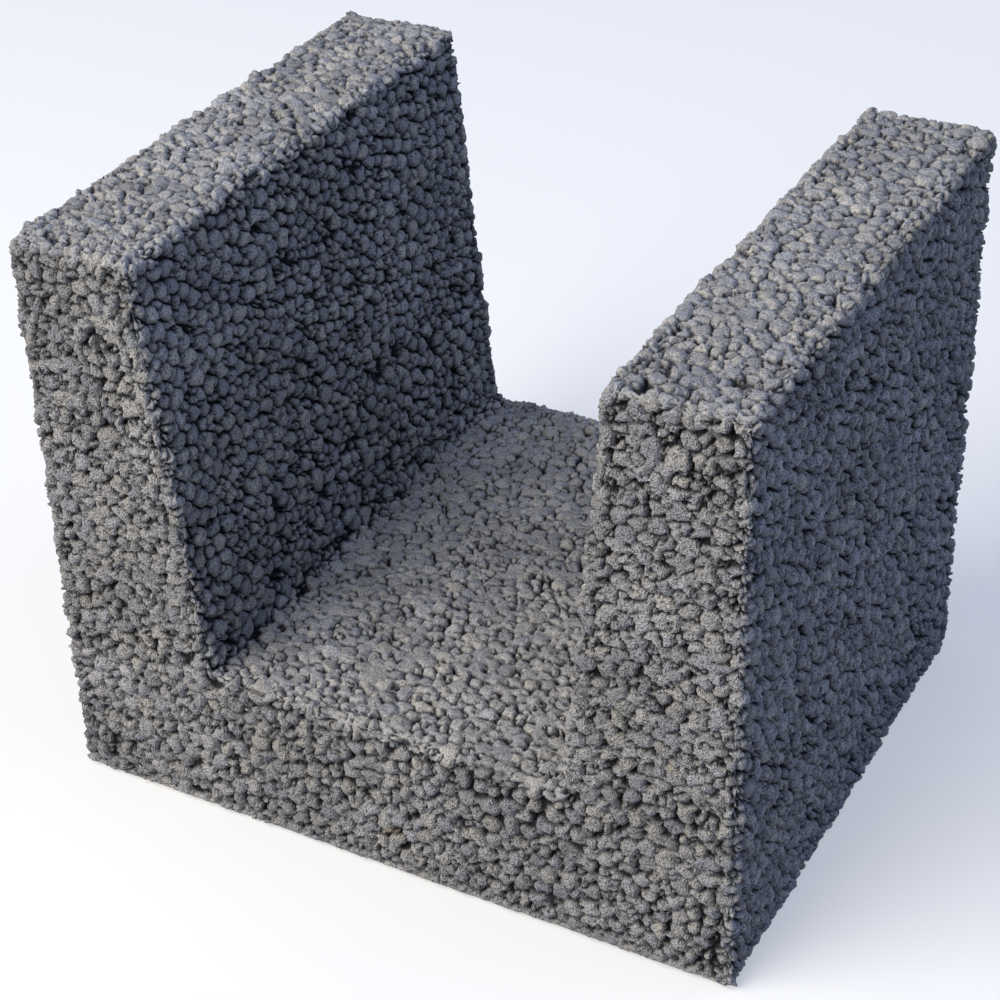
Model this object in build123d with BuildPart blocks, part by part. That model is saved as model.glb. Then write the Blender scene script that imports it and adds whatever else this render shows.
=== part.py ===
from build123d import *
import os

# U-shaped channel block of lightweight concrete, pressed in a mould as one piece.
# Lengths are in millimetres. X runs across the channel, Y along it, and Z points up.
# The origin is the middle of the base, on the surface that the block stands on.

# Outer size
block_width = 300.0
block_length = 245.0
block_height = 252.0

# Slab under the channel, and the arms on its two sides.
# The arms are thinner at the top, so that the mould's core could be drawn out upwards.
slab_thickness = 72.0
arm_foot_thickness = 73.0
arm_top_thickness = 56.0

# Rounding. An arris is about as round as the coarse grains that form it.
arris_radius = 4.0
root_radius = 5.0

# Half widths that the section is drawn from
outer_half_width = block_width / 2
channel_floor_half_width = outer_half_width - arm_foot_thickness
channel_mouth_half_width = outer_half_width - arm_top_thickness

os.makedirs("parts", exist_ok=True)

# The block: one section, carried along the channel, with rounded roots and arrises
with BuildPart() as u_block:
    with BuildSketch(Plane.XZ) as section:
        with BuildLine():
            half_outline = Polyline(
                (0, 0),
                (outer_half_width, 0),
                (outer_half_width, block_height),
                (channel_mouth_half_width, block_height),
                (channel_floor_half_width, slab_thickness),
                (0, slab_thickness),
            )
            mirror(half_outline, about=Plane.YZ)
        make_face()
        channel_roots = section.vertices().group_by(Axis.Y)[1].sort_by(Axis.X)
        fillet([channel_roots[0], channel_roots[-1]], root_radius)
    extrude(amount=block_length / 2, both=True)

    # The arrises are the outline of both ends and the long edges of the base and of the arm tops
    end_arrises = u_block.faces().filter_by(Axis.Y).edges()
    long_edges = u_block.edges().filter_by(Axis.Y).group_by(Axis.Z)
    fillet(end_arrises + long_edges[0] + long_edges[-1], arris_radius)

u_block.part.label = "u_block"
export_step(u_block.part, "parts/u_block.step")
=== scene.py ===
# %% [markdown]
# # A channel block of lightweight concrete
# The real block is one casting: round grains of expanded clay, 2 to 10 mm across, coated with cement
# paste, poured into a mould and pressed. There is no sand between the grains, so every face is a crust of
# pebbles with dark gaps. The CAD part gives the true size and the flat faces. This script grows the crust of
# grains on those faces, as real geometry, and then gives it its stone finish.
#
# A texture on a flat box would look flat along the edges and in the outline, and a million loose pebbles
# would not look like one casting. So the crust here is one closed skin: a fine lattice of points on the
# block's faces, each pushed in or out to the surface of a heap of packed grains.

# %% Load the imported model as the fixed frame
from itertools import product

import bpy
import numpy as np
from mathutils import Matrix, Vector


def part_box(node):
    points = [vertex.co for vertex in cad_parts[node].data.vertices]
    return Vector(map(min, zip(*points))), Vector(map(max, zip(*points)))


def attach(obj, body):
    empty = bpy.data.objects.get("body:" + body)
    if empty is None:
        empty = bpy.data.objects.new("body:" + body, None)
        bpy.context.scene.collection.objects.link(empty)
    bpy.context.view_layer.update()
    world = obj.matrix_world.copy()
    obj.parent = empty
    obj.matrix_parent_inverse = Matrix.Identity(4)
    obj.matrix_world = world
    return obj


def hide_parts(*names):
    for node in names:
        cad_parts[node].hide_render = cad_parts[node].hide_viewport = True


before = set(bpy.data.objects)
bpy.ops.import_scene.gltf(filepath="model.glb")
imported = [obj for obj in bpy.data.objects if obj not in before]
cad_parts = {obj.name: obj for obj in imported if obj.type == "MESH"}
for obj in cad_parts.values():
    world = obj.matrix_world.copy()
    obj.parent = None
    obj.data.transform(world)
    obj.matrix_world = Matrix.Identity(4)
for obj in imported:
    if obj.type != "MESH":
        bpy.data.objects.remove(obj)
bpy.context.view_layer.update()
scene = bpy.context.scene
MM = 0.001
low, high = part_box("u_block")
WIDTH, LENGTH, HEIGHT = [(b - a) / MM for a, b in zip(low, high)]
print(f"block {WIDTH:.1f} x {LENGTH:.1f} x {HEIGHT:.1f} mm")

# %% [markdown]
# ## The section
# The block is a U in section. Its outer size comes from the frame, and the slab and the two tapering arms
# are the part's own sizes. The outline is a closed list of eight corners, counter-clockwise seen from the
# front, so that the outward normal of an edge is its direction turned a quarter turn clockwise. The corners
# are sharp here: the arrises are rounded further down, together with the grains.

# %% The outline of the section, in millimetres
SLAB = 72.0
ARM_FOOT = 73.0
ARM_TOP = 56.0
side = WIDTH / 2
floor_half = side - ARM_FOOT
mouth_half = side - ARM_TOP
end = LENGTH / 2
corners = np.array([
    (-side, 0), (side, 0), (side, HEIGHT), (mouth_half, HEIGHT),
    (floor_half, SLAB), (-floor_half, SLAB), (-mouth_half, HEIGHT), (-side, HEIGHT),
])
edges = np.roll(corners, -1, axis=0) - corners
edge_length = np.linalg.norm(edges, axis=1)
edge_normal = np.stack([edges[:, 1], -edges[:, 0]], axis=1) / edge_length[:, None]
EDGE_NAMES = [
    "base", "right_side", "right_top", "right_inner",
    "floor", "left_inner", "left_top", "left_side",
]
print("section edges", dict(zip(EDGE_NAMES, edge_length.round(1))))


# %% The channel's width, and the distance of a point from the outline
def channel_half(z):
    """Half the channel's width at height z: constant below the floor, then widening in a straight line."""
    rise = np.clip((z - SLAB) / (HEIGHT - SLAB), 0, 1)
    return floor_half + (mouth_half - floor_half) * rise


def edge_distances(flat):
    """Distance from each (x, z) point to each of the eight edges, and the vector to the nearest point on
    it: the point is dropped square onto the edge's line, and kept between the edge's two ends."""
    offset = flat[:, None, :] - corners
    along = np.clip((offset * edges).sum(2) / edge_length**2, 0, 1)
    to_edge = along[..., None] * edges - offset
    return np.linalg.norm(to_edge, axis=2), to_edge


def outline_depth(flat):
    """How deep each (x, z) point lies inside the outline (negative outside), and the way out of it."""
    distance, to_edge = edge_distances(flat)
    nearest = distance.argmin(axis=1)
    rows = np.arange(len(flat))
    x, z = flat[:, 0], flat[:, 1]
    inside = (abs(x) < side) & (z > 0) & (z < HEIGHT) & ((z < SLAB) | (abs(x) > channel_half(z)))
    sign = np.where(inside, 1.0, -1.0)
    depth = distance[rows, nearest]
    way = to_edge[rows, nearest] * (sign / np.maximum(depth, 1e-6))[:, None]
    return depth * sign, np.where(depth[:, None] < 1e-6, edge_normal[nearest], way)


print("depth of the middle of the slab, mm:", outline_depth(np.array([(0.0, SLAB / 2)]))[0])

# %% [markdown]
# ## The lattice
# Every face is a grid of whole-number steps (i, j, k): i across the block, j along it and k up it. Two faces
# that meet use the same whole numbers on their shared edge, so their points are the same points, and the
# skin closes without a gap. The step is about 0.9 mm, fine enough to give a 4 mm grain its round back, and
# coarse enough to keep the whole skin under a million triangles. The base is hidden and has twice the step.

# %% Steps of the lattice
STEP = 0.9
ACROSS_ARM = 2 * round((ARM_FOOT + ARM_TOP) / 4 / STEP)
ACROSS_CHANNEL = 2 * round(floor_half / STEP)
UP_SLAB = round(SLAB / STEP)
UP_ARM = round((HEIGHT - SLAB) / STEP)
ALONG = 2 * round(end / STEP)
ACROSS = 2 * ACROSS_ARM + ACROSS_CHANNEL
UP = UP_SLAB + UP_ARM
print("lattice", ACROSS, "x", ALONG, "x", UP)


def lattice_point(i, j, k):
    """Place of lattice point (i, j, k): z rises evenly through the slab and then through the arms. x runs
    evenly from the outer side to the channel's slanting side, and evenly across the channel."""
    z = np.where(k <= UP_SLAB, SLAB * k / UP_SLAB, SLAB + (HEIGHT - SLAB) * (k - UP_SLAB) / UP_ARM)
    inner = channel_half(z)
    left = -side + (side - inner) * i / ACROSS_ARM
    middle = inner * (2 * (i - ACROSS_ARM) / ACROSS_CHANNEL - 1)
    right = side - (side - inner) * (ACROSS - i) / ACROSS_ARM
    x = np.where(i <= ACROSS_ARM, left, np.where(i >= ACROSS - ACROSS_ARM, right, middle))
    return np.stack([x, LENGTH * j / ALONG - end, z], axis=-1)


def grid(u_steps, v_steps):
    """Two index grids, u across the columns and v down the rows."""
    return np.meshgrid(np.asarray(u_steps), np.asarray(v_steps))


def quads_of(rows, columns):
    """The four corner numbers of every cell of a grid of points, turned counter-clockwise."""
    first = (np.arange(rows - 1)[:, None] * columns + np.arange(columns - 1)).ravel()
    return np.stack([first, first + 1, first + columns + 1, first + columns], axis=1)


# %% [markdown]
# ## The faces as patches
# Each patch is a grid of (i, j, k) points whose first direction crossed with its second points out of the
# block. An arm's inner face and its top are one patch, bent over the arris. The two ends are U-shaped: they
# are whole rectangles less the cells that lie in the channel.

# %% The seven patches; the base is made apart, below
j_front = np.arange(ALONG + 1)
j_back = j_front[::-1]
k_all = np.arange(UP + 1)
k_arm = np.arange(UP_SLAB, UP + 1)
i_all = np.arange(ACROSS + 1)
i_channel = np.arange(ACROSS_ARM, ACROSS - ACROSS_ARM + 1)
i_left_top = np.arange(ACROSS_ARM - 1, -1, -1)
i_right_top = np.arange(ACROSS - ACROSS_ARM + 1, ACROSS + 1)


def side_patch(i, js):
    """An outer side: every j and k at one i."""
    j, k = grid(js, k_all)
    return np.full_like(j, i), j, k


def arm_patch(i_inner, i_top, js):
    """An arm's inner face, from the channel floor up, and then its top, outwards."""
    path_i = np.concatenate([np.full(len(k_arm), i_inner), i_top])
    path_k = np.concatenate([k_arm, np.full(len(i_top), UP)])
    j, row = grid(js, np.arange(len(path_i)))
    return path_i[row], j, path_k[row]


def end_patch(i_steps, j):
    """An end face: every i and k at one j."""
    i, k = grid(i_steps, k_all)
    return i, np.full_like(i, j), k


def floor_patch():
    """The channel's floor: every i and j between the arms at one k."""
    i, j = grid(i_channel, j_front)
    return i, j, np.full_like(i, UP_SLAB)


patches = {
    "right_side": side_patch(ACROSS, j_front),
    "left_side": side_patch(0, j_back),
    "left_arm": arm_patch(ACROSS_ARM, i_left_top, j_front),
    "right_arm": arm_patch(ACROSS - ACROSS_ARM, i_right_top, j_back),
    "channel_floor": floor_patch(),
    "front_end": end_patch(i_all, 0),
    "rear_end": end_patch(i_all[::-1], ALONG),
}
print("rows and columns of points", {name: i.shape for name, (i, j, k) in patches.items()})


# %% Point numbers, and the faces between the points
def point_number(i, j, k):
    """One whole number for each lattice point."""
    return (i * (ALONG + 1) + j) * (UP + 1) + k


def patch_faces(name):
    """Corner numbers of a patch's faces. An end keeps only the cells of the slab and of the two arms."""
    i, j, k = patches[name]
    faces = quads_of(*i.shape)
    if name.endswith("_end"):
        in_slab = k.ravel()[faces].max(axis=1) <= UP_SLAB
        across = i.ravel()[faces]
        in_arm = (across.max(axis=1) <= ACROSS_ARM) | (across.min(axis=1) >= ACROSS - ACROSS_ARM)
        faces = faces[in_slab | in_arm]
    return point_number(i, j, k).ravel()[faces]


def base_faces():
    """The base in cells of twice the step. A cell on the border also takes the point in the middle of its
    outer edge, so that it meets the finer neighbours point for point."""
    i, j = [v.ravel() for v in grid(np.arange(0, ACROSS, 2), np.arange(0, ALONG, 2))]
    ring_i = np.stack([i, i, i, i + 1, i + 2, i + 2, i + 2, i + 1], axis=1)
    ring_j = np.stack([j, j + 1, j + 2, j + 2, j + 2, j + 1, j, j], axis=1)
    keep = np.ones((len(i), 8), bool)
    keep[:, 1::2] = np.stack([i == 0, j == ALONG - 2, i == ACROSS - 2, j == 0], axis=1)
    numbers = point_number(ring_i, ring_j, 0)
    return [list(row[kept]) for row, kept in zip(numbers, keep)]


faces_of = {name: patch_faces(name) for name in patches}
base_cells = base_faces()
used = np.unique(np.concatenate([f.ravel() for f in faces_of.values()] + [np.concatenate(base_cells)]))
triangles = {name: 2 * len(f) for name, f in faces_of.items()}
triangles["base"] = sum(len(cell) - 2 for cell in base_cells)
print("points", len(used), "triangles", triangles, "in all", sum(triangles.values()))

# %% [markdown]
# ## Which way each point moves
# On a flat face a point moves square to the face. Near an edge the two faces' normals are blended over a
# few millimetres, so the paths fan out evenly round the arris and the grains there are seen whole. The
# arris is round as well: each point there starts from a quarter circle, whose radius is the fan's width. In
# the two roots of the channel the rounding goes the other way and fills the corner.

# %% Places and outward directions of all lattice points
FAN = 5.0
ROOT_FILL = 1.6
point_i = used // ((ALONG + 1) * (UP + 1))
point_j = used // (UP + 1) % (ALONG + 1)
point_k = used % (UP + 1)
places = lattice_point(point_i, point_j, point_k)
FACE_NAMES = EDGE_NAMES + ["front", "rear"]
FRONT, REAR = 8, 9


def face_weights(points):
    """How much each of the ten faces counts at a point: 1 on the face, falling in a straight line to 0 at
    FAN millimetres from it."""
    to_edges = edge_distances(points[:, [0, 2]])[0]
    to_ends = np.stack([end + points[:, 1], end - points[:, 1]], axis=1)
    return np.clip(1 - np.hstack([to_edges, to_ends]) / FAN, 0, 1)


face_normals = np.zeros((10, 3))
face_normals[:FRONT, [0, 2]] = edge_normal
face_normals[FRONT:, 1] = (-1, 1)
weights = face_weights(places)
share = dict(zip(FACE_NAMES, weights.T))
normals = weights @ face_normals
fan_length = np.linalg.norm(normals, axis=1)
normals /= fan_length[:, None]
in_section = np.linalg.norm(weights[:, :FRONT] @ edge_normal, axis=1)
root = np.clip(3 * share["floor"] * np.maximum(share["right_inner"], share["left_inner"]), 0, 1)
inset = FAN * (fan_length - 1 - ROOT_FILL * root * np.maximum(in_section - 1, 0))
print("fan of normals: shares of the faces", dict(zip(FACE_NAMES, weights.mean(axis=0).round(3))))

# %% [markdown]
# ## Random fields
# Concrete is irregular at every size, so the grains are bent and the colours are mottled by smooth random
# fields. A field is a table of random numbers, one for each corner of a cubic lattice, blended between.

# %% A smooth random field
TABLE = 64
table = np.random.default_rng(3).random((TABLE, TABLE, TABLE)).astype(np.float32)


def field(points, size, shift=0.0):
    """Random field from 0 to 1 with lumps about size millimetres wide. Between the eight table corners
    around a point it blends with weights 3t^2 - 2t^3 along each axis."""
    scaled = points / size + shift
    cell = np.floor(scaled).astype(np.int64)
    t = (scaled - cell).astype(np.float32)
    t = t * t * (3 - 2 * t)
    total = np.zeros(len(points), np.float32)
    for corner in product((0, 1), repeat=3):
        part = np.prod(np.where(corner, t, 1 - t), axis=1)
        index = (cell + corner) % TABLE
        total += part * table[index[:, 0], index[:, 1], index[:, 2]]
    return total


print("random table", table.shape, "with a mean of", table.mean().round(3))

# %% [markdown]
# ## Packing the grains
# In the mould every grain of the crust leans on the mould's wall, so its top lies in the face's plane. The
# grains get radii spread like the real aggregate, many small ones and few large ones, and random places
# under the faces. Then they push each other apart, round after round, while each is held at its own depth.
# That is how a real heap settles, and it leaves the narrow gaps of the real block.

# %% Cubes that sort points by place
CUBE = 6.5
REACH = 10.4


def sort_into_cubes(points, size):
    """Sorts points into cubes: for each cube, the first of its points in the sorted order and the count."""
    corner = points.min(axis=0) - 2 * size
    shape = ((points.max(axis=0) - corner) / size).astype(int) + 3
    cell = ((points - corner) / size).astype(int)
    number = (cell[:, 0] * shape[1] + cell[:, 1]) * shape[2] + cell[:, 2]
    order = np.argsort(number, kind="stable")
    count = np.bincount(number, minlength=shape.prod())
    first = np.concatenate([[0], np.cumsum(count)[:-1]])
    return corner, shape, order, first, count


def neighbours(queries, cubes, size):
    """Yields (query rows, point numbers): in each turn every query row meets at most one new point out of
    the 27 cubes around it."""
    corner, shape, order, first, count = cubes
    cell = np.clip(((queries - corner) / size).astype(int), 1, shape - 2)
    number = (cell[:, 0] * shape[1] + cell[:, 1]) * shape[2] + cell[:, 2]
    for dx, dy, dz in product((-1, 0, 1), repeat=3):
        near = number + (dx * shape[1] + dy) * shape[2] + dz
        rows = np.flatnonzero(count[near])
        turn = 0
        while len(rows):
            yield rows, order[first[near[rows]] + turn]
            turn += 1
            rows = rows[count[near[rows]] > turn]


def close_pairs(points, reach):
    """All pairs of points nearer to each other than reach, each pair once."""
    found = []
    for rows, others in neighbours(points, sort_into_cubes(points, reach), reach):
        gap = points[rows] - points[others]
        close = (rows < others) & ((gap**2).sum(axis=1) < reach**2)
        found.append((rows[close], others[close]))
    return [np.concatenate(part) for part in zip(*found)]


# %% [markdown]
# The mix differs from face to face. The ends and the arm tops show the coarse grains. Along the mould's
# steel walls the fine ones have filled in between. Each row of the table below is one face: the smallest
# and the largest radius, how strongly small ones prevail, and the share of the face that the grains cover.

# %% Grains on the walls of the mould
rng = np.random.default_rng(11)
WALL_MIX = (1.2, 5.0, 1.5, 0.86)
TOP_MIX = (2.2, 5.0, 1.0, 0.88)
END_MIX = (1.7, 5.0, 1.0, 0.84)
MIX = {
    "base": (1.3, 4.4, 1.6, 0.88),
    "right_side": WALL_MIX,
    "right_top": TOP_MIX,
    "right_inner": WALL_MIX,
    "floor": (1.4, 4.6, 1.5, 0.88),
    "left_inner": WALL_MIX,
    "left_top": TOP_MIX,
    "left_side": WALL_MIX,
    "front": END_MIX,
    "rear": END_MIX,
}
end_area = WIDTH * HEIGHT - (floor_half + mouth_half) * (HEIGHT - SLAB)
face_area = dict(zip(FACE_NAMES, np.concatenate([edge_length * LENGTH, [end_area, end_area]])))
print("square millimetres", {face: round(area) for face, area in face_area.items()})


def draw_radii(face):
    """Radii for one face: r = small + (large - small) * u^skew, until their discs make up its cover."""
    small, large, skew, cover = MIX[face]
    drawn = small + (large - small) * rng.random(40000) ** skew
    enough = np.searchsorted(np.cumsum(np.pi * drawn**2), cover * face_area[face])
    return drawn[:enough]


# %% [markdown]
# A grain starts at a random place under its face, about as deep as its radius or a little deeper. Each time
# its neighbours have pushed it, it is put back to that depth and kept clear of the other faces. So it only
# slides along its wall, as a real one does in the mould.

# %% Random places under a face
def seeds_on(face, depth):
    """A random grain centre under a face for each depth."""
    count = len(depth)
    if face < FRONT:
        along = rng.random(count)
        flat = corners[face] + along[:, None] * edges[face] - depth[:, None] * edge_normal[face]
        y = rng.uniform(-end, end, count)
    else:
        flat = np.empty((0, 2))
        while len(flat) < count:
            tried = rng.uniform((-side, 0), (side, HEIGHT), (2 * count, 2))
            flat = np.concatenate([flat, tried[outline_depth(tried)[0] > 0]])
        flat = flat[:count]
        y = (end - depth) * (-1 if face == FRONT else 1)
    return np.stack([flat[:, 0], y, flat[:, 1]], axis=1)


def hold(centres, radii, face, depth):
    """Puts each centre back at its own depth under its own face, and at least its radius under any other."""
    on_end = face >= FRONT
    inside, out = outline_depth(centres[:, [0, 2]])
    wanted = np.where(on_end, np.maximum(inside, radii), depth)
    centres[:, [0, 2]] += out * (inside - wanted)[:, None]
    room = end - radii
    centres[:, 1] = np.clip(centres[:, 1], -room, room)
    centres[on_end, 1] = ((end - depth) * np.where(face == FRONT, -1, 1))[on_end]
    return centres


# %% Grains that push each other apart
ROUNDS_PER_SEARCH = 8
PINNED_MASS = 1000


def settle(centres, radii, face, depth, rounds, pinned):
    """Pushes overlapping grains apart and holds them at their depths. The lighter one of a pair moves more,
    and the last ones of the list, the arris grains, stay where they are."""
    mass = radii**3
    fixed = centres[-pinned:].copy()
    mass[-pinned:] *= PINNED_MASS
    for turn in range(rounds):
        if turn % ROUNDS_PER_SEARCH == 0:
            a, b = close_pairs(centres, REACH)
        gap = centres[a] - centres[b]
        distance = np.linalg.norm(gap, axis=1) + 1e-6
        overlap = np.maximum(radii[a] + radii[b] - distance, 0)
        push = gap * (overlap / distance / (mass[a] + mass[b]))[:, None]
        for axis in range(3):
            centres[:, axis] += np.bincount(a, push[:, axis] * mass[b], len(centres))
            centres[:, axis] -= np.bincount(b, push[:, axis] * mass[a], len(centres))
        centres = hold(centres, radii, face, depth)
        centres[-pinned:] = fixed
    print("overlap left between neighbours, mm:", overlap[overlap > 0].mean().round(3))
    return centres


# %% [markdown]
# The arrises of the real block are strings of its larger grains. So each gets a row of coarse grains of its
# own, and those stay where they are put, while the others settle against them. The two largest are listed
# one by one, on the upper front arris of the right arm.

# %% Rows of coarse grains along the arrises
ARRIS_RADII = (3.0, 4.9)
ROOT_CORNERS = (4, 5)
BIG_GRAINS = np.array([(109, -117, 246.2), (144.6, -117.1, 246.7)])
BIG_RADII = np.array([5.5, 5.3])


def arris_row(start, stop, inward, face):
    """A row of coarse grains along an arris, each touching the next. Each centre lies one radius, or from
    0.2 mm less to 0.9 mm more, under both faces that meet there."""
    length = np.linalg.norm(stop - start)
    drawn = rng.uniform(*ARRIS_RADII, int(length / (2 * np.mean(ARRIS_RADII))))
    along = (np.cumsum(2 * drawn) - drawn)[:, None] / (2 * drawn.sum())
    under = drawn + rng.uniform(-0.2, 0.9, len(drawn))
    return start + along * (stop - start) + under[:, None] * inward, drawn, np.full(len(drawn), face)


arris_rows = []
for n in range(8):
    here, past = corners[n], corners[(n + 1) % 8]
    before = edge_normal[n - 1]
    if n not in ROOT_CORNERS:
        inward = -(before + edge_normal[n]) / (1 + before @ edge_normal[n])
        ends = [np.array([here[0], y, here[1]]) for y in (-end, end)]
        arris_rows.append(arris_row(*ends, np.array([inward[0], 0, inward[1]]), n))
    for face, y, into in ((FRONT, -end, 1.0), (REAR, end, -1.0)):
        two = [np.array([c[0], y, c[1]]) for c in (here, past)]
        arris_rows.append(arris_row(*two, np.array([-edge_normal[n][0], into, -edge_normal[n][1]]), face))
arris_rows.append((BIG_GRAINS, BIG_RADII, np.full(len(BIG_RADII), FRONT)))
row_centres, row_radii, row_home = [np.concatenate(part) for part in zip(*arris_rows)]
print("arris grains", len(row_radii))

# %% The whole crust, settled
ROUNDS = 40
END_SPREAD, WALL_SPREAD = 0.9, 0.7
drawn = [draw_radii(face) for face in FACE_NAMES]
home = np.repeat(np.arange(10), [len(r) for r in drawn])
radii = np.concatenate(drawn)
spread = np.where(home >= FRONT, END_SPREAD, WALL_SPREAD)
sunk = radii + (spread * rng.random(len(home)) ** 1.7 - 0.2) * np.minimum(radii / 2, 1)
centres = np.concatenate([seeds_on(f, sunk[home == f]) for f in range(10)] + [row_centres])
home, radii, sunk = np.append(home, row_home), np.append(radii, row_radii), np.append(sunk, row_radii)
centres = settle(centres, radii, home, sunk, ROUNDS, len(row_radii))
print("crust grains", len(centres), "mean diameter", (2 * radii.mean()).round(2))

# %% Grains that fell out, and the crumbs that cling between the others
FALLEN = 0.04
FALLEN_FROM_LEVEL = 0.016
FALLEN_FROM_ARRIS = 0.08
LEVEL_FACES = [FACE_NAMES.index(name) for name in ("base", "right_top", "floor", "left_top")]
CRUMBS_PER_MM2 = 0.045
CRUMB_RADII = (0.6, 1.6)
CRUMB_DEPTHS = (0.1, 2.4)
chance = np.where(np.isin(home, LEVEL_FACES), FALLEN_FROM_LEVEL, FALLEN)
chance[-len(row_radii):] = FALLEN_FROM_ARRIS
chance[-len(BIG_RADII):] = 0
stays = rng.random(len(centres)) > chance
crumb_home = np.repeat(np.arange(10), [int(CRUMBS_PER_MM2 * face_area[face]) for face in FACE_NAMES])
crumb_radii = rng.uniform(*CRUMB_RADII, len(crumb_home))
crumb_sunk = crumb_radii + rng.uniform(*CRUMB_DEPTHS, len(crumb_home))
crumbs = np.concatenate([seeds_on(f, crumb_sunk[crumb_home == f]) for f in range(10)])
crumbs = hold(crumbs, crumb_radii, crumb_home, crumb_sunk)
all_centres = np.concatenate([centres[stays], crumbs]).astype(np.float32)
all_radii = np.concatenate([radii[stays], crumb_radii])
print("grains in all", len(all_radii))

# %% [markdown]
# ## The shape of a grain
# No grain is a ball. Each is an ellipsoid: a ball squeezed by up to a fifth along three random directions,
# and a little larger than its place in the packing, because the cement coat joins it to its neighbours.
# Below its shoulder the coat runs down as a straight skirt, so two neighbours always meet in a clean
# valley.

# %% Squeezed and turned grains
COAT = 1.08
STRETCH = (0.82, 1.2)
FACET_TILT = 0.1


def random_turns(count):
    """Rotation matrices from random unit quaternions."""
    q = rng.normal(size=(4, count))
    w, x, y, z = q / np.linalg.norm(q, axis=0)
    return np.stack([
        1 - 2 * (y * y + z * z), 2 * (x * y - z * w), 2 * (x * z + y * w),
        2 * (x * y + z * w), 1 - 2 * (x * x + z * z), 2 * (y * z - x * w),
        2 * (x * z - y * w), 2 * (y * z + x * w), 1 - 2 * (x * x + y * y),
    ], axis=1).reshape(-1, 3, 3)


stretch = rng.uniform(*STRETCH, (len(all_radii), 3))
stretch /= stretch.prod(axis=1)[:, None] ** (1 / 3)
to_ball = random_turns(len(all_radii)) / (COAT * all_radii[:, None] * stretch)[:, :, None]
to_ball = to_ball.astype(np.float32)
grain_tone = rng.random(len(all_radii)).astype(np.float32)
grain_tilt = rng.normal(0, FACET_TILT, (len(all_radii), 3)).astype(np.float32)
print("longest over shortest axis:", (stretch.max(axis=1) / stretch.min(axis=1)).mean().round(2))

# %% Height and slope of a grain's surface
SHOULDER = 0.86
skirt_slope = SHOULDER / np.sqrt(1 - SHOULDER**2)


def grain_surface(points, directions, grain):
    """Height t at which the line p + t n leaves a grain, and how that height changes with p. With the grain
    made a unit ball, the line passes its centre at distance rho. The cap is sqrt(1 - rho^2), and outside
    the shoulder it goes on in a straight line."""
    matrix = to_ball[grain]
    start = np.einsum("nij,nj->ni", matrix, points - all_centres[grain])
    way = np.einsum("nij,nj->ni", matrix, directions)
    square = (way * way).sum(axis=1)
    nearest = -(start * way).sum(axis=1) / square
    rho = np.sqrt(np.maximum((start * start).sum(axis=1) - nearest**2 * square, 1e-8))
    cap = np.sqrt(1 - np.minimum(rho, SHOULDER) ** 2)
    rise = cap - skirt_slope * np.maximum(rho - SHOULDER, 0)
    return nearest + rise / np.sqrt(square), (matrix, start, way, square, nearest, rho, cap)


def surface_slope(directions, parts):
    """Gradient of the height along the face: dt/dp = -A^T w / w.w + f'(rho) / (rho |w|) A^T (s + t0 w),
    with its share along n taken out."""
    matrix, start, way, square, nearest, rho, cap = parts
    fall = np.where(rho < SHOULDER, -rho / cap, -skirt_slope)
    from_axis = start + nearest[:, None] * way
    slope = (fall / (rho * np.sqrt(square)))[:, None] * from_axis - way / square[:, None]
    return np.einsum("nij,ni->nj", matrix, slope) + directions


# %% The two highest grains over a point
SEARCH_DEPTH = 2.5


def two_highest(points, directions):
    """The highest and the second highest grain over each point: their heights and their numbers. The search
    starts a little under the face, where the grains' centres are."""
    height = np.full((2, len(points)), -99, np.float32)
    number = np.zeros((2, len(points)), np.int64)
    for rows, grain in neighbours(points - SEARCH_DEPTH * directions, grain_cubes, CUBE):
        t = grain_surface(points[rows], directions[rows], grain)[0]
        second = t > height[1, rows]
        rows, grain, t = rows[second], grain[second], t[second]
        first = t > height[0, rows]
        over, under = rows[first], rows[~first]
        height[1, over] = height[0, over]
        number[1, over] = number[0, over]
        height[0, over] = t[first]
        number[0, over] = grain[first]
        height[1, under] = t[~first]
        number[1, under] = grain[~first]
    return height, number


# %% [markdown]
# ## Drawing the lattice onto the gaps
# A gap between two grains is narrower than a step of the lattice, so most gaps would fall between its
# points and vanish. A finer lattice would cost four times the triangles for half the step. Instead, the
# lattice point that lies nearest to a line where two grains are equally high is drawn onto that line. After
# that the gaps are true valleys in the mesh, with their full depth.

# %% Two helpers: lumpy grains, and a summary of measures
BROAD_BEND, FINE_BEND = 3.2, 1.5


def bend(points, amount):
    """Moves points by smooth random fields, which makes round grains lumpy."""
    shifts = []
    for axis in range(3):
        broad = field(points, BROAD_BEND, 11.3 * axis)
        fine = field(points, FINE_BEND, 8.1 * axis)
        shifts.append(broad + 0.6 * fine - 0.8)
    return points + amount[:, None] * np.stack(shifts, axis=1)


def span(values):
    """Mean, lowest and highest value as text."""
    return f"mean {values.mean():.2f}, from {values.min():.2f} to {values.max():.2f}"


# %% Heights of the crust, with the valleys on lattice points
SNAP = 0.48
grain_cubes = sort_into_cubes(all_centres.astype(float), CUBE)
out = normals.astype(np.float32)
open_end = np.clip(share["front"] + share["rear"], 0, 1)
top = np.clip(share["left_top"] + share["right_top"], 0, 1)
warp = 1.6 + 1.2 * open_end + 0.6 * top
spot = places.copy()
for turn in range(2):
    bent = bend(spot, warp).astype(np.float32)
    height, number = two_highest(bent, out)
    height += inset.astype(np.float32)
    first_slope = surface_slope(out, grain_surface(bent, out, number[0])[1])
    second_slope = surface_slope(out, grain_surface(bent, out, number[1])[1])
    across = first_slope - second_slope
    steep = np.linalg.norm(across, axis=1) + 1e-6
    seam = (height[0] - height[1]) / steep
    if turn == 0:
        drawn_on = seam < SNAP * STEP
        spot[drawn_on] -= (across * (seam / steep)[:, None])[drawn_on]
print("points drawn onto a gap:", drawn_on.mean().round(3))
print("distance left over, mm:", span(seam[drawn_on]))
print("height, mm:", span(height[0]))

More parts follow.
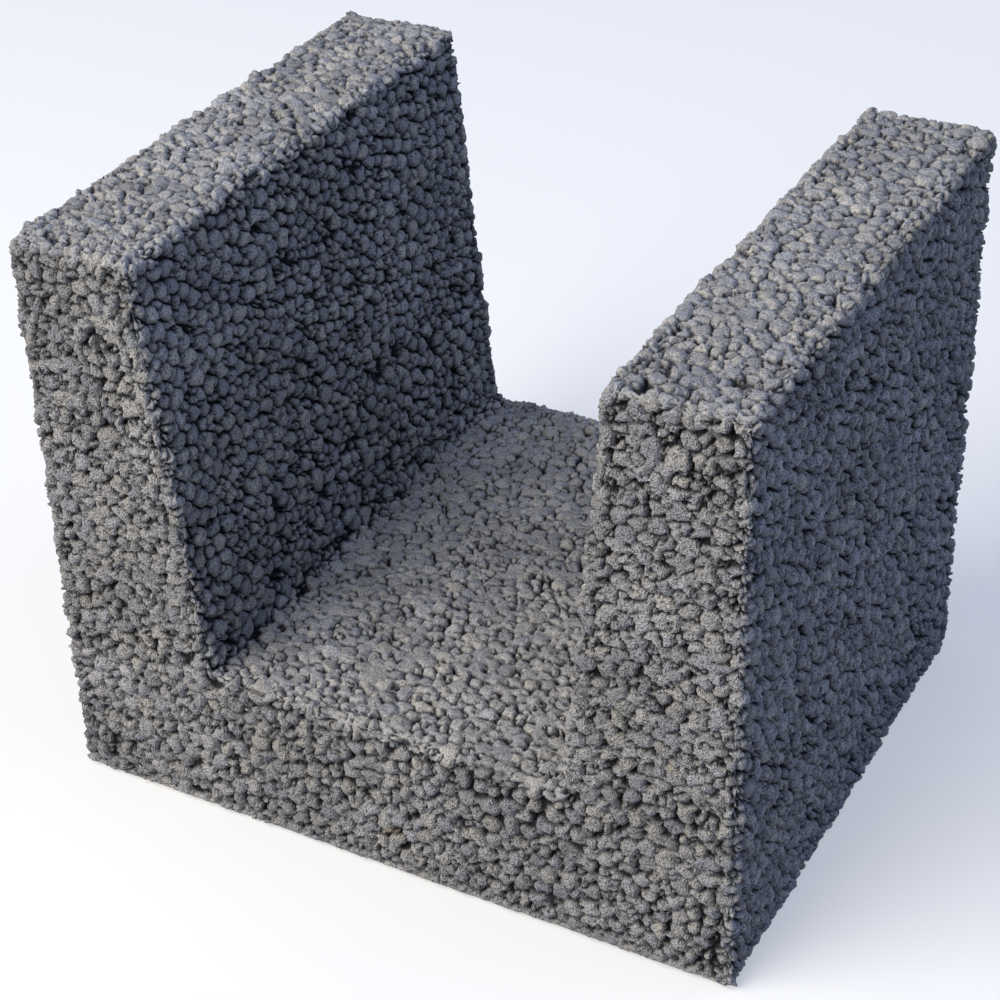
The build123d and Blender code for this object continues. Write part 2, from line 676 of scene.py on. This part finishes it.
# %% [markdown]
# ## How each face was finished
# The same grains look different from face to face. On the arm tops and the channel floor the press has
# flattened them into facets with thin cracks between. The outer sides have deep open gaps, and the inner
# faces, where the mould's core was drawn out, shallower ones. On the ends the arms are smeared half shut, so
# only pores stay open, while the slab below keeps its grains round.

# %% Two ways to blend
def soft_min(a, b, width):
    """The smaller of two heights, with the corner between them rounded off over width."""
    return np.minimum(a, b) - np.maximum(width - abs(a - b), 0) ** 2 / (4 * width)


def ramp(value, start, stop):
    """0 below start, 1 above stop and 3t^2 - 2t^3 between."""
    t = np.clip((value - start) / (stop - start), 0, 1)
    return t * t * (3 - 2 * t)


# %% [markdown]
# Some marks belong to this one block: pits where a grain is gone, dark holes, grooves and small tan stains.
# A random field never puts one in its right place, so they are listed one by one. Each row below is the two
# ends of a line, a radius, and the depth of a pit in millimetres or the strength of a stain.

# %% Marks of this one block
PITS = [
    (-94, -37, 252, -94, -34, 252, 3.4, 2.6), (-92, -43, 230, -92, -41, 230, 2.2, 3.4),
    (-93.5, 34, 247, -93.5, 38, 246, 2.8, 3.4), (-92, -122, 230, -91.5, -122, 226, 3.0, 1.8),
    (-114, -122.5, 220, -111.6, -122.5, 211.5, 1.7, 2.6), (-78, -122.5, 70, -77, -122.5, 67.5, 2.4, 2.6),
    (118.5, -122.5, 187, 121, -122.5, 186.5, 1.2, 3.0), (140, -122.5, 194, 144, -122.5, 195, 1.6, 2.2),
    (107, -117, 252, 108, -115, 252, 2.2, 2.4), (135, -100, 252, 137, -98, 252, 2.2, 2.6),
    (-143, -122.5, 241, -142, -122.5, 241, 1.8, 2.6), (-136, -122.5, 246.8, -120.5, -122.5, 250, 1.2, 1.4),
    (97, -122.5, 237.5, 108, -122.5, 240, 0.9, 1.6), (124, -122.5, 241.5, 143, -122.5, 244, 0.9, 1.5),
]
STAINS = [
    (-1, -122.5, 21.4, 6, -122.5, 22.4, 1.3, 0.6), (6, -122.5, 22.4, 11.2, -122.5, 16.2, 0.7, 0.35),
    (122, -122.5, 101.5, 123, -122.5, 101, 1.2, 0.4), (5, -122.5, 63.5, 6.5, -122.5, 64, 1.2, 0.35),
]


def marks_on(points, marks):
    """Strength of the strongest mark at each point: its full value on its line, falling to 0 at a distance
    of about its radius, which wavers with a random field."""
    strongest = np.zeros(len(points))
    waver = 0.6 + 0.9 * field(points, 1.8, 2.9)
    for mark in marks:
        start, stop = np.array(mark[:3], float), np.array(mark[3:6], float)
        radius, strength = mark[6:]
        run = stop - start
        along = np.clip((points - start) @ run / (run @ run), 0, 1)
        distance = np.linalg.norm(points - start - along[:, None] * run, axis=1)
        nearness = ramp(radius * waver - distance, -0.5 * radius, 0.5 * radius)
        strongest = np.maximum(strongest, strength * nearness)
    return strongest


print(len(PITS), "pits and", len(STAINS), "stains")

# %% [markdown]
# One table holds the finishes. Flat is how far the grains are pressed to one level. Paste is the height up
# to which cement fills the gaps, and waver how much that height varies. Closed is the share of the gaps
# that are shut, and depth and width are those of an open gap. Heights and widths are in millimetres. Where
# two kinds of face meet, each counts by the square of its weight, which keeps the change short.

# %% The finish of each kind of face
FINISHES = {
    #        flat  paste waver closed depth width
    "side": (0.60, -5.0, 1.0, 0.00, 3.4, 0.90),
    "inner": (0.80, -2.6, 1.2, 0.00, 2.4, 0.60),
    "slab": (0.60, -2.4, 1.2, 0.12, 1.1, 0.55),
    "arm": (1.00, -0.2, 1.4, 0.25, 1.3, 0.45),
    "top": (1.00, -0.9, 0.6, 0.20, 1.1, 0.45),
    "bed": (1.00, -1.0, 0.4, 0.44, 1.2, 0.60),
    "base": (1.00, -0.5, 0.2, 0.50, 0.8, 0.60),
}
SMEAR_FROM, SMEAR_TO = 75, 120
edge = np.clip(weights.sum(axis=1) - 1, 0, 1) * (1 - root)
three_sided = np.clip(weights.sum(axis=1) - 2, 0, 1)
patchy = field(places, 21, 2.2)
smeared = ramp(places[:, 2] + 40 * (patchy - 0.5), SMEAR_FROM, SMEAR_TO)
outer = share["left_side"] + share["right_side"]
inner = share["left_inner"] + share["right_inner"]
slab_end = open_end * (1 - smeared)
arm_end = open_end * smeared
kinds = np.stack([outer, inner, slab_end, arm_end, top, share["floor"], share["base"]])
kinds = kinds**2 / (kinds**2).sum(axis=0)
flat, paste, waver, closed, gap_depth, gap_width = np.array(list(FINISHES.values())).T @ kinds
flat = flat * (1 - 0.5 * edge)
print("share of the points", dict(zip(FINISHES, kinds.mean(axis=1).round(2))))

# %% [markdown]
# The press takes the tops off the grains. A grain's facet lies a little under the face, higher or lower
# from grain to grain, and slightly tilted. The lower one of grain and facet is what stays, and the pressed
# grains are then raised again, so that the face keeps its place.

# %% Grains pressed into facets
FACET_HEIGHT = -0.9
FACET_SPREAD = 0.9
RAISED = 0.4
facet = FACET_HEIGHT + (FACET_SPREAD - 0.5 * arm_end) * (grain_tone[number[0]] - 0.5)
tilt = ((spot - all_centres[number[0]]) * grain_tilt[number[0]]).sum(axis=1)
facet = facet + tilt * (1 - 0.5 * open_end)
levelled = soft_min(height[0], facet, 0.5) + RAISED
relief = height[0] + flat * (levelled - height[0])
print("pressed grains, mm:", span(relief))

# %% [markdown]
# Cement paste stands between the grains, up to a height that wavers from place to place. It stays a little
# under the face everywhere. Near an arris less is missing, or the gaps of two faces would meet there and
# leave thin blades. Where the paste has drowned a grain, it hides the gap beside it as well.

# %% Cement paste between the grains
HIGHEST_PASTE = -0.6
blobs = 2.6 * field(places, 4.6, 1.6) + 3.2 * field(places, 2.1, 4.3) - 2.9
waver = waver * (1 - 0.5 * edge) * blobs
paste = soft_min(paste * (1 - 0.5 * edge) + waver + 0.3 * edge, HIGHEST_PASTE, 0.4)
filled = ramp(paste - relief, -0.4, 0.5) * (1 - flat)
relief = -soft_min(-relief, -paste, 0.5)
print("with paste, mm:", span(relief))

# %% [markdown]
# Some gaps are shut, most gape, and a few go deep: random fields choose which. A dark line of painted shade
# in the colour helps those gaps along that are narrower than the lattice can show.

# %% Gaps
PORE_WIDTH = 0.85
gape = ramp(field(places, 2.6, 6.2), closed - 0.08, closed + 0.12) * (1 - filled)
deep = np.clip(5 * field(places, 3.4, 8.2) - 2.8, 0, 1) * (1 - 0.4 * edge) * (1 - filled)
relief = relief - (0.3 + gap_depth * gape) * (1 - 0.4 * edge) * np.clip(1 - seam / gap_width, 0, 1)
relief = relief - (1 + 2 * flat) * deep * np.clip(1.3 - seam / PORE_WIDTH, 0, 1)
on_seam = np.clip(1 - seam / (1.1 * STEP), 0, 1)
# painted shade: how strongly a dark line is painted along a gap too narrow for the lattice to show its shade
gap_shade_line = np.clip(steep / 1.4, 0, 1) * on_seam * (0.3 + 0.7 * gape) * (1 - filled)
print("with gaps, mm:", span(relief))

# %% [markdown]
# Three things are laid over all this. A hem of paste has run down to the mould's base plate and smoothed
# the lowest few millimetres. Lumps under 2 mm make the coat of each grain uneven, and lumps of 24 mm make
# the faces a little wavy. Wear has taken the arrises back in places, but not at the base.

# %% Hem, lumps and wear
HEM_HEIGHT = 4
LUMP, WAVE = 1.9, 24
hem = ramp(HEM_HEIGHT - places[:, 2] + 7 * (patchy - 0.5), 0, 2.5) * (0.35 + 0.4 * open_end)
relief = relief + hem * (-0.5 - relief)
gap_shade_line = gap_shade_line * (1 - hem)
level = np.maximum(top, share["floor"])
lumpy = (0.4 + 0.5 * open_end * (1 - 0.5 * smeared)) * (1 - 0.5 * edge) * (1 - 0.5 * level)
lumps = (field(places, LUMP, 5.1) - 0.5) * lumpy + (field(places, WAVE, 7.7) - 0.5) * 0.9
wear = ramp(edge, 0, 1) * (places[:, 2] > 10) * np.clip(7 * field(places, 13, 9.4) - 3.5, 0, 1.6)
wear = wear + 0.5 * ramp(share["floor"] * open_end, 0, 1)
print("worn arrises, mm:", span(wear[edge > 0.5]))

# %% The skin's final points, their tone and their stains
DEEPEST = 6
PALE_PATCH = (-58, -122.5, 49.5)
relief = relief - marks_on(places, PITS) + lumps * (1 - 0.4 * hem) - wear
relief = -soft_min(-relief, DEEPEST - 3.4 * edge, 0.8)
relief = relief - 0.45 * three_sided * (relief + 0.5)
skin = spot + normals * (relief - inset)[:, None]
skin[:, 2] = np.maximum(skin[:, 2], 0)
pale = ramp(7 - np.linalg.norm(places - PALE_PATCH, axis=1), 0, 4)
tone = np.maximum(grain_tone[number[0]], pale)
tan_arris = 0.3 * share["right_top"] * share["right_side"] * field(places, 9, 3.3)
stain = np.maximum(marks_on(places, STAINS), tan_arris)
print("relief, mm:", span(relief))


# %% [markdown]
# ## Checking the skin
# A solid's skin has no hole and faces outwards, and both can be counted. In a closed skin every edge is run
# along once each way, and the volume that its triangles enclose is positive. It is less than the plain
# block's, by the gaps between the grains. The normals are worked out over the whole skin at once, so that
# the shading runs on from patch to patch.

# %% Is the skin closed, and which way does it face?
row_of = {name: np.searchsorted(used, f) for name, f in faces_of.items()}
base_rows = [list(np.searchsorted(used, cell)) for cell in base_cells]
rings = [np.concatenate(list(row_of.values()))]
rings += [np.array([c for c in base_rows if len(c) == n]) for n in sorted({len(c) for c in base_rows})]


def open_edges():
    """Number of edges that no face runs along in the opposite direction. A closed skin has none."""
    start = np.concatenate([ring.ravel() for ring in rings])
    stop = np.concatenate([np.roll(ring, -1, axis=1).ravel() for ring in rings])
    return len(np.setdiff1d(start * len(used) + stop, stop * len(used) + start))


def enclosed_volume(points):
    """Volume in litres: a sixth of the sum of a . (b x c) over all triangles, positive if they face out."""
    total = 0
    for ring in rings:
        for n in range(1, ring.shape[1] - 1):
            a, b, c = points[ring[:, 0]], points[ring[:, n]], points[ring[:, n + 1]]
            total += (a * np.cross(b, c)).sum() / 6
    return total * MM**3 * 1000


def smooth_normals(points):
    """Normal of each point: the sum of its faces' normals, each as long as its face is large."""
    total = np.zeros_like(points)
    for ring in rings:
        face = np.cross(points[ring[:, 2]] - points[ring[:, 0]], points[ring[:, -1]] - points[ring[:, 1]])
        for corner in range(ring.shape[1]):
            for axis in range(3):
                total[:, axis] += np.bincount(ring[:, corner], face[:, axis], len(points))
    return total / np.maximum(np.linalg.norm(total, axis=1), 1e-9)[:, None]


shading = smooth_normals(skin)
print("open edges", open_edges(), "volume in litres", round(enclosed_volume(skin), 3))
print("volume of the plain block in litres", round(end_area * LENGTH * MM**3 * 1000, 3))

# %% [markdown]
# ## One object for each face
# A mesh of a million triangles is heavy to open and to save, so the skin is built as eight pieces, one for
# each face of the block. They share their border points and the smoothed normals along them, so no seam
# shows. Each point also carries what the finish needs to know: how deep it lies, how strongly a line of
# painted shade marks a narrow gap there, the tone of its grain, how much its face was pressed and how
# strongly it is stained.

# %% What each point carries, and its flat coordinates
pressed = top + share["floor"] + share["base"] + 0.3 * (outer + inner)
point_values = {"depth": -relief, "gap_shade_line": gap_shade_line, "grain_tone": tone, "pressed": pressed, "stain": stain}


def unfold(name, rows):
    """Flat coordinates for a patch in millimetres: the two directions that lie in its face."""
    x, y, z = places[rows].T
    if name.endswith("_side"):
        return y, z
    if name.endswith("_end"):
        return x, z
    if name.endswith("_arm"):
        return y, np.where(z < HEIGHT - 1e-6, z, HEIGHT + mouth_half - abs(x) + 2 * (abs(x) - mouth_half))
    return x, y


print("values at each point:", {name: span(value) for name, value in point_values.items()})


# %% Put one patch into a mesh
def make_piece(name, faces):
    """Mesh object of one patch: its points, its faces, smooth shading, point values, flat coordinates."""
    loops = np.concatenate(faces)
    rows, corner = np.unique(loops, return_inverse=True)
    sizes = np.array([len(f) for f in faces])
    mesh = bpy.data.meshes.new(name)
    mesh.vertices.add(len(rows))
    mesh.loops.add(len(loops))
    mesh.polygons.add(len(sizes))
    mesh.vertices.foreach_set("co", (skin[rows] * MM).ravel())
    mesh.loops.foreach_set("vertex_index", corner.ravel())
    mesh.polygons.foreach_set("loop_start", np.concatenate([[0], np.cumsum(sizes)[:-1]]))
    mesh.update(calc_edges=True)
    mesh.shade_smooth()
    for value_name, value in point_values.items():
        attribute = mesh.attributes.new(value_name, "FLOAT", "POINT")
        attribute.data.foreach_set("value", value[rows].astype(np.float32))
    unfolded = np.stack(unfold(name, rows), axis=1)
    unfolded -= unfolded.min(axis=0)
    unfolded /= unfolded.max()
    layer = mesh.uv_layers.new(name="OFBake")
    layer.data.foreach_set("uv", unfolded[corner.ravel()].astype(np.float32).ravel())
    mesh.normals_split_custom_set_from_vertices(shading[rows])
    piece = bpy.data.objects.new(name, mesh)
    scene.collection.objects.link(piece)
    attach(piece, "root")
    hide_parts("u_block")
    return piece


pieces = [make_piece(name, faces) for name, faces in row_of.items()]
pieces.append(make_piece("base", base_rows))
print("pieces", [p.name for p in pieces])

# %% [markdown]
# ## Finish: expanded clay concrete, open grained
# What the eye sees is cement paste over the grains: a dull, mid grey, slightly warm stone with no gloss at
# all. Every grain has a slightly different tone, and the paste is speckled with fine sand and dust. Deep
# between the grains little light gets in, and that shade is painted into the colour: the deeper a point
# lies, the darker it is painted.

# %% Colours and a helper that adds a node
def linear(hex_colour):
    """sRGB hex colour as linear red, green, blue and alpha."""
    channels = [int(hex_colour[n:n + 2], 16) / 255 for n in (1, 3, 5)]
    return [c / 12.92 if c <= 0.04045 else ((c + 0.055) / 1.055) ** 2.4 for c in channels] + [1.0]


def add(tree, kind, inputs=(), **settings):
    """Adds one node: its settings, and for each input a value or another node's output socket."""
    made = tree.nodes.new(kind)
    for key, value in settings.items():
        setattr(made, key, value)
    for key, value in dict(inputs).items():
        if isinstance(value, bpy.types.NodeSocket):
            tree.links.new(value, made.inputs[key])
        else:
            made.inputs[key].default_value = value
    return made


def start_material(name):
    """A new material with an empty node tree and its output."""
    made = bpy.data.materials.new(name)
    made.use_nodes = True
    made.node_tree.nodes.clear()
    return made, made.node_tree, add(made.node_tree, "ShaderNodeOutputMaterial")


print("half grey as linear light:", round(linear("#808080")[0], 3))


# %% Expanded clay concrete: the grey of each grain
def per_metre(size_mm):
    """Noise scale whose lumps are about size_mm wide, for coordinates in metres."""
    return 1 / (size_mm * MM)


concrete, tree, output = start_material("expanded_clay_concrete")
place = add(tree, "ShaderNodeTexCoord").outputs["Object"]
value_of = {n: add(tree, "ShaderNodeAttribute", attribute_name=n).outputs["Fac"] for n in point_values}
paste_tone = add(tree, "ShaderNodeMix", {
    0: value_of["grain_tone"], 6: linear("#8b8c8f"), 7: linear("#a6a5a3")}, data_type="RGBA")
turned = add(tree, "ShaderNodeMath", {0: value_of["grain_tone"], 1: 7.3}, operation="MULTIPLY")
other = add(tree, "ShaderNodeMath", {0: turned.outputs[0]}, operation="FRACT")
tint = add(tree, "ShaderNodeMix", {
    0: other.outputs[0], 6: linear("#fdf9f2"), 7: linear("#f5f6fc")}, data_type="RGBA")
tinted = add(tree, "ShaderNodeMix", {
    0: 1.0, 6: paste_tone.outputs[2], 7: tint.outputs[2]}, data_type="RGBA", blend_type="MULTIPLY")
print(concrete.name, "reads", list(value_of))

# %% [markdown]
# Over the grains' own tones lie blotches of about 38 mm, where the mix was wetter or drier, and a speckle
# of sand and dust. Real dust is finer than a pixel of the render, so it is drawn 0.8 mm wide. The pinholes
# in the cement are about 1.2 mm wide. All three are noise on the block's own coordinates, so that they run
# on from patch to patch.

# %% Blotches, speckle and pinholes
BLOTCH, SPECKLE, PINHOLE = 38, 0.8, 1.2
mottle = add(tree, "ShaderNodeTexNoise", {"Vector": place, "Scale": per_metre(BLOTCH), "Detail": 3.0})
speckle = add(tree, "ShaderNodeTexNoise", {
    "Vector": place, "Scale": per_metre(SPECKLE), "Detail": 1.0, "Roughness": 0.7})
grit = add(tree, "ShaderNodeMapRange", {
    "Value": speckle.outputs["Fac"], "From Min": 0.32, "From Max": 0.68})
pit_noise = add(tree, "ShaderNodeTexNoise", {
    "Vector": place, "Scale": per_metre(PINHOLE), "Detail": 1.0, "Roughness": 0.6})
# pinholes: dents in the bump, and painted shade in the colour further down
pits = add(tree, "ShaderNodeMapRange", {
    "Value": pit_noise.outputs["Fac"], "From Min": 0.38, "From Max": 0.28, "To Max": 0.7})
mottled = add(tree, "ShaderNodeMix", {
    0: 0.35, 6: tinted.outputs[2], 7: mottle.outputs["Fac"]}, data_type="RGBA", blend_type="OVERLAY")
specked = add(tree, "ShaderNodeMix", {
    0: 0.34, 6: mottled.outputs[2], 7: grit.outputs[0]}, data_type="RGBA", blend_type="OVERLAY")
print("noise scales per metre:", [round(per_metre(size)) for size in (BLOTCH, SPECKLE, PINHOLE)])

# %% Painted shade in the gaps and pinholes, and stains
# painted shade: the deeper a point lies between the grains, from 1.3 mm down to 3 mm, the darker its colour
depth_shade = add(tree, "ShaderNodeMapRange", {"Value": value_of["depth"], "From Min": 1.3, "From Max": 3.0})
# painted shade: a frayed dark line along the narrow gaps
frayed = add(tree, "ShaderNodeMath", {
    0: speckle.outputs["Fac"], 1: 0.7, 2: value_of["gap_shade_line"]}, operation="MULTIPLY_ADD")
shade_line = add(tree, "ShaderNodeMapRange", {"Value": frayed.outputs[0], "From Min": 0.70, "From Max": 1.15})
shade = add(tree, "ShaderNodeMath", {0: depth_shade.outputs[0], 1: shade_line.outputs[0]}, operation="MAXIMUM")
# painted shade also goes into the pinholes, up to 0.7 of the way to the dark grey
painted_shade = add(tree, "ShaderNodeMath", {0: shade.outputs[0], 1: pits.outputs[0]}, operation="MAXIMUM")
stained = add(tree, "ShaderNodeMix", {
    0: value_of["stain"], 6: specked.outputs[2], 7: linear("#978660")}, data_type="RGBA")
# painted shade: the colour is drawn towards a dark grey in the deep gaps, along the narrow gap lines and in
# the pinholes
with_painted_shade = add(tree, "ShaderNodeMix", {
    0: painted_shade.outputs[0], 6: stained.outputs[2], 7: linear("#302f31")}, data_type="RGBA")
print("nodes so far:", len(tree.nodes))

# %% [markdown]
# What is finer than the lattice is bump: the same speckle as pimples, and the pinholes. The mould and the
# press have smoothed the faces that they touched, so the bump is weaker there. Cement is a rough
# dielectric: there is no metal in it and hardly a gloss.

# %% Fine relief and the finished shader
BUMP_HEIGHT = 1.9 * MM
CEMENT_ROUGHNESS = 0.93
rough = add(tree, "ShaderNodeMath", {
    0: pits.outputs[0], 1: -0.5, 2: speckle.outputs["Fac"]}, operation="MULTIPLY_ADD")
softened = add(tree, "ShaderNodeMapRange", {"Value": value_of["pressed"], "To Min": 1.0, "To Max": 0.45})
bumped = add(tree, "ShaderNodeBump", {
    "Strength": softened.outputs[0], "Distance": BUMP_HEIGHT, "Height": rough.outputs[0]})
shader = add(tree, "ShaderNodeBsdfPrincipled", {
    "Base Color": with_painted_shade.outputs[2], "Roughness": CEMENT_ROUGHNESS, "Specular IOR Level": 0.25,
    "Normal": bumped.outputs[0]})
tree.links.new(shader.outputs[0], output.inputs["Surface"])
for piece in pieces:
    piece.data.materials.append(concrete)
print(concrete.name, "has", len(tree.nodes), "nodes")

# %% [markdown]
# ## Floor, light and camera
# The photograph is a cut-out on white, so the floor is pale and plain and only catches a soft shadow. A
# third of its white is glow, which keeps the shadow light, and to all rays but the camera's it is darker,
# so that it throws less light up at the block.
#
# One large warm lamp stands in front, above and a little to the left. Cool light from all round fills the
# sides that face away from it, and a second, weak and bluish lamp stands for the brighter sky behind the
# block on its right.

# %% Floor
FLOOR_HALF_SIZE = 6.0


def flat_sheet(name, half_size):
    """A square sheet on the ground."""
    mesh = bpy.data.meshes.new(name)
    h = half_size
    mesh.from_pydata([(-h, -h, 0), (h, -h, 0), (h, h, 0), (-h, h, 0)], [], [(0, 1, 2, 3)])
    sheet = bpy.data.objects.new(name, mesh)
    scene.collection.objects.link(sheet)
    return sheet


floor = flat_sheet("studio_floor", FLOOR_HALF_SIZE)
floor_material, tree, output = start_material("white_paper")
seen = add(tree, "ShaderNodeLightPath").outputs["Is Camera Ray"]
paper = add(tree, "ShaderNodeMix", {0: seen, 6: linear("#b0b2b6"), 7: linear("#f4f4f4")}, data_type="RGBA")
sheet_shader = add(tree, "ShaderNodeBsdfDiffuse", {"Color": paper.outputs[2]})
glow = add(tree, "ShaderNodeEmission", {"Color": (1, 1, 1, 1), "Strength": 1.0})
glow_share = add(tree, "ShaderNodeMath", {0: seen, 1: 0.35}, operation="MULTIPLY")
both = add(tree, "ShaderNodeMixShader", {
    0: glow_share.outputs[0], 1: sheet_shader.outputs[0], 2: glow.outputs[0]})
tree.links.new(both.outputs[0], output.inputs["Surface"])
floor.data.materials.append(floor_material)
print("floor", 2 * FLOOR_HALF_SIZE, "m wide")

# %% Light from all round
world = bpy.data.worlds.new("studio")
scene.world = world
world.use_nodes = True
tree = world.node_tree
tree.nodes.clear()
seen = add(tree, "ShaderNodeLightPath").outputs["Is Camera Ray"]
fill = add(tree, "ShaderNodeBackground", {"Color": linear("#aecaff"), "Strength": 0.42})
white = add(tree, "ShaderNodeBackground", {"Color": (1, 1, 1, 1), "Strength": 1.0})
mixed = add(tree, "ShaderNodeMixShader", {0: seen, 1: fill.outputs[0], 2: white.outputs[0]})
add(tree, "ShaderNodeOutputWorld", {"Surface": mixed.outputs[0]})
print("fill from all round:", round(fill.inputs["Strength"].default_value, 2))

# %% Lamps
LAMP_WIDTH = 2.6
LAMP_DISTANCE = 2.6
MIDDLE = (0, 0, 0.12)


def look_matrix(place_m, back, roll):
    """Matrix of a lamp or camera at a place: its own z axis points along back, away from what it looks at,
    and roll turns it about that axis."""
    back = np.asarray(back, float) / np.linalg.norm(back)
    right = np.cross((0, 0, 1), back)
    right /= np.linalg.norm(right)
    up = np.cross(back, right)
    turned_right = right * np.cos(roll) + up * np.sin(roll)
    turned_up = up * np.cos(roll) - right * np.sin(roll)
    columns = np.eye(4)
    columns[:3, 0], columns[:3, 1], columns[:3, 2], columns[:3, 3] = turned_right, turned_up, back, place_m
    return Matrix(columns)


def lamp(name, way, energy, colour):
    """A round soft lamp, seen from the middle of the block in the direction way, and facing it."""
    data = bpy.data.lights.new(name, "AREA")
    data.shape = "DISK"
    data.size = LAMP_WIDTH
    data.energy = energy
    data.color = linear(colour)[:3]
    made = bpy.data.objects.new(name, data)
    way = np.array(way) / np.linalg.norm(way)
    made.matrix_world = look_matrix(way * LAMP_DISTANCE + MIDDLE, way, 0)
    scene.collection.objects.link(made)
    print(name, "lamp of", energy, "W")


lamp("key", (-0.40, -0.69, 0.605), 109, "#fdf6e8")
lamp("sky", (0.68, 0.30, 0.67), 20, "#d0deff")

# %% [markdown]
# The camera's place, angles and lens were found by fitting the block's straight edges to those in the
# photograph: a long lens about a metre away, held a little askew. TURN is how far the camera has gone
# round the block to the right, and TILT how far it looks down.

# %% Camera
CAMERA_PLACE = (0.3792, -0.6998, 0.6373)
SENSOR_WIDTH = 36
FOCAL_LENGTH = 83.09
TURN, TILT, ROLL = np.radians((29.172, 33.712, -1.775))
back = (np.sin(TURN) * np.cos(TILT), -np.cos(TURN) * np.cos(TILT), np.sin(TILT))
camera_data = bpy.data.cameras.new("camera")
camera_data.sensor_width = SENSOR_WIDTH
camera_data.lens = FOCAL_LENGTH
camera = bpy.data.objects.new("camera", camera_data)
camera.matrix_world = look_matrix(CAMERA_PLACE, back, ROLL)
scene.collection.objects.link(camera)
scene.camera = camera
scene.view_settings.view_transform = "Standard"
print("camera", np.linalg.norm(CAMERA_PLACE).round(2), "m from the foot of the block")
